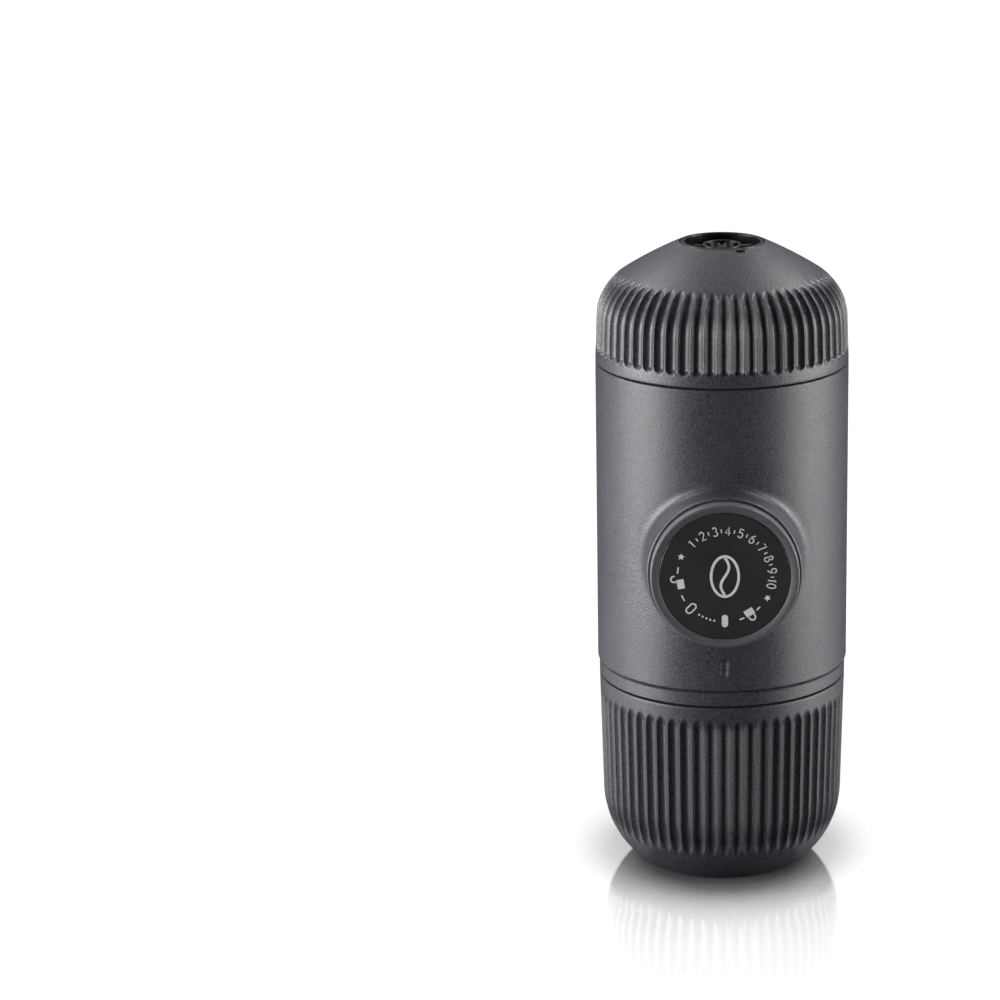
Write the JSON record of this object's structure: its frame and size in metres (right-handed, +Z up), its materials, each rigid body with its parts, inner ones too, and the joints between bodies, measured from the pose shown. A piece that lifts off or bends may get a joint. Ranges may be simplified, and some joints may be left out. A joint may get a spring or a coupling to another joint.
{
  "type": "handheld manual espresso maker",
  "caption": "Capsule-shaped hand-pumped coffee maker: fluted cup below, fluted water tank above, round locking pump knob on the front of a smooth barrel.",
  "frame": {"origin": "centre of the cup's flat base, on the surface it stands on", "axes": "+Z up through the cup, the barrel and the water tank; -Y out of the front, through the pump knob; +X to the right as seen from the front"},
  "size_m": [0.0616, 0.0704, 0.1561],
  "materials": {
    "body_grey": "satin, fine spark grain",
    "black_plastic": "satin",
    "gloss_black": "polished",
    "white_plastic": "machined",
    "rubber": "dull",
    "silicone": "satin, milky",
    "steel": "brushed",
    "spring_steel": "bright drawn wire"
  },
  "bodies": {
    "cup": {"drinking_cup": "body_grey"},
    "portafilter": {"portafilter_ring": "body_grey", "portafilter_body": "black_plastic", "cup_grip_ring": "rubber", "outlet_gasket": "silicone", "outlet_head": "gloss_black"},
    "seat_ring": {"basket_seat_ring": "silicone"},
    "basket": {"filter_basket": "steel", "basket_screen": "steel"},
    "gasket": {"group_gasket": "rubber"},
    "housing": {"outer_shell": "body_grey", "brew_head": "black_plastic", "shower_screen": "steel", "shower_screw": "steel", "pump_cylinder": "black_plastic", "rod_guide": "white_plastic", "pump_screws": "steel", "inlet_tube": "silicone", "outlet_tube": "silicone", "inlet_valve": "silicone", "outlet_valve": "silicone", "intake_strainer": "black_plastic", "tie_screws": "steel", "tank_coupling": "black_plastic", "piston_spring": "spring_steel"},
    "piston": {"piston_rod": "steel", "piston_head": "white_plastic", "piston_seal": "rubber", "retaining_clip": "steel"},
    "knob": {"knob_cap": "body_grey", "dial_disc": "gloss_black"},
    "seal_ring": {"tank_seal": "silicone"},
    "tank": {"water_tank": "body_grey", "tank_collar": "black_plastic", "vent_plug": "rubber", "air_valve": "silicone"}
  },
  "joints": [
    {"name": "cup_pull", "type": "slide", "parent": "cup", "child": "portafilter", "axis": [0, 0, 1], "range_m": [0, 0.045]},
    {"name": "basket_lift", "type": "slide", "parent": "portafilter", "child": "seat_ring", "axis": [0, 0, 1], "range_m": [0, 0.036]},
    {"name": "basket_turn", "type": "hinge", "parent": "seat_ring", "child": "basket", "pos_m": [0, 0, 0], "axis": [0, 0, 1], "range_deg": [0, 1080]},
    {"name": "housing_lift", "type": "slide", "parent": "basket", "child": "gasket", "axis": [0, 0, 1], "range_m": [0, 0.024]},
    {"name": "housing_turn", "type": "hinge", "parent": "gasket", "child": "housing", "pos_m": [0, 0, 0], "axis": [0, 0, 1], "range_deg": [0, 720]},
    {"name": "tank_lift", "type": "slide", "parent": "housing", "child": "seal_ring", "axis": [0, 0, 1], "range_m": [0, 0.024]},
    {"name": "tank_turn", "type": "hinge", "parent": "seal_ring", "child": "tank", "pos_m": [0, 0, 0], "axis": [0, 0, 1], "range_deg": [0, 720]},
    {"name": "pump_stroke", "type": "slide", "parent": "housing", "child": "piston", "axis": [0, -1, 0], "range_m": [0, 0.015], "deforming": ["piston_spring"]},
    {"name": "knob_unlock", "type": "hinge", "parent": "piston", "child": "knob", "pos_m": [0, -0.036, 0.0837], "axis": [0, -1, 0], "range_deg": [0, 45]}
  ],
  "couplings": [
    {"joint": "basket_lift", "follows": "basket_turn", "m_per_rad": 0.0019099},
    {"joint": "housing_lift", "follows": "housing_turn", "m_per_rad": 0.0019099},
    {"joint": "tank_lift", "follows": "tank_turn", "m_per_rad": 0.0019099}
  ]
}
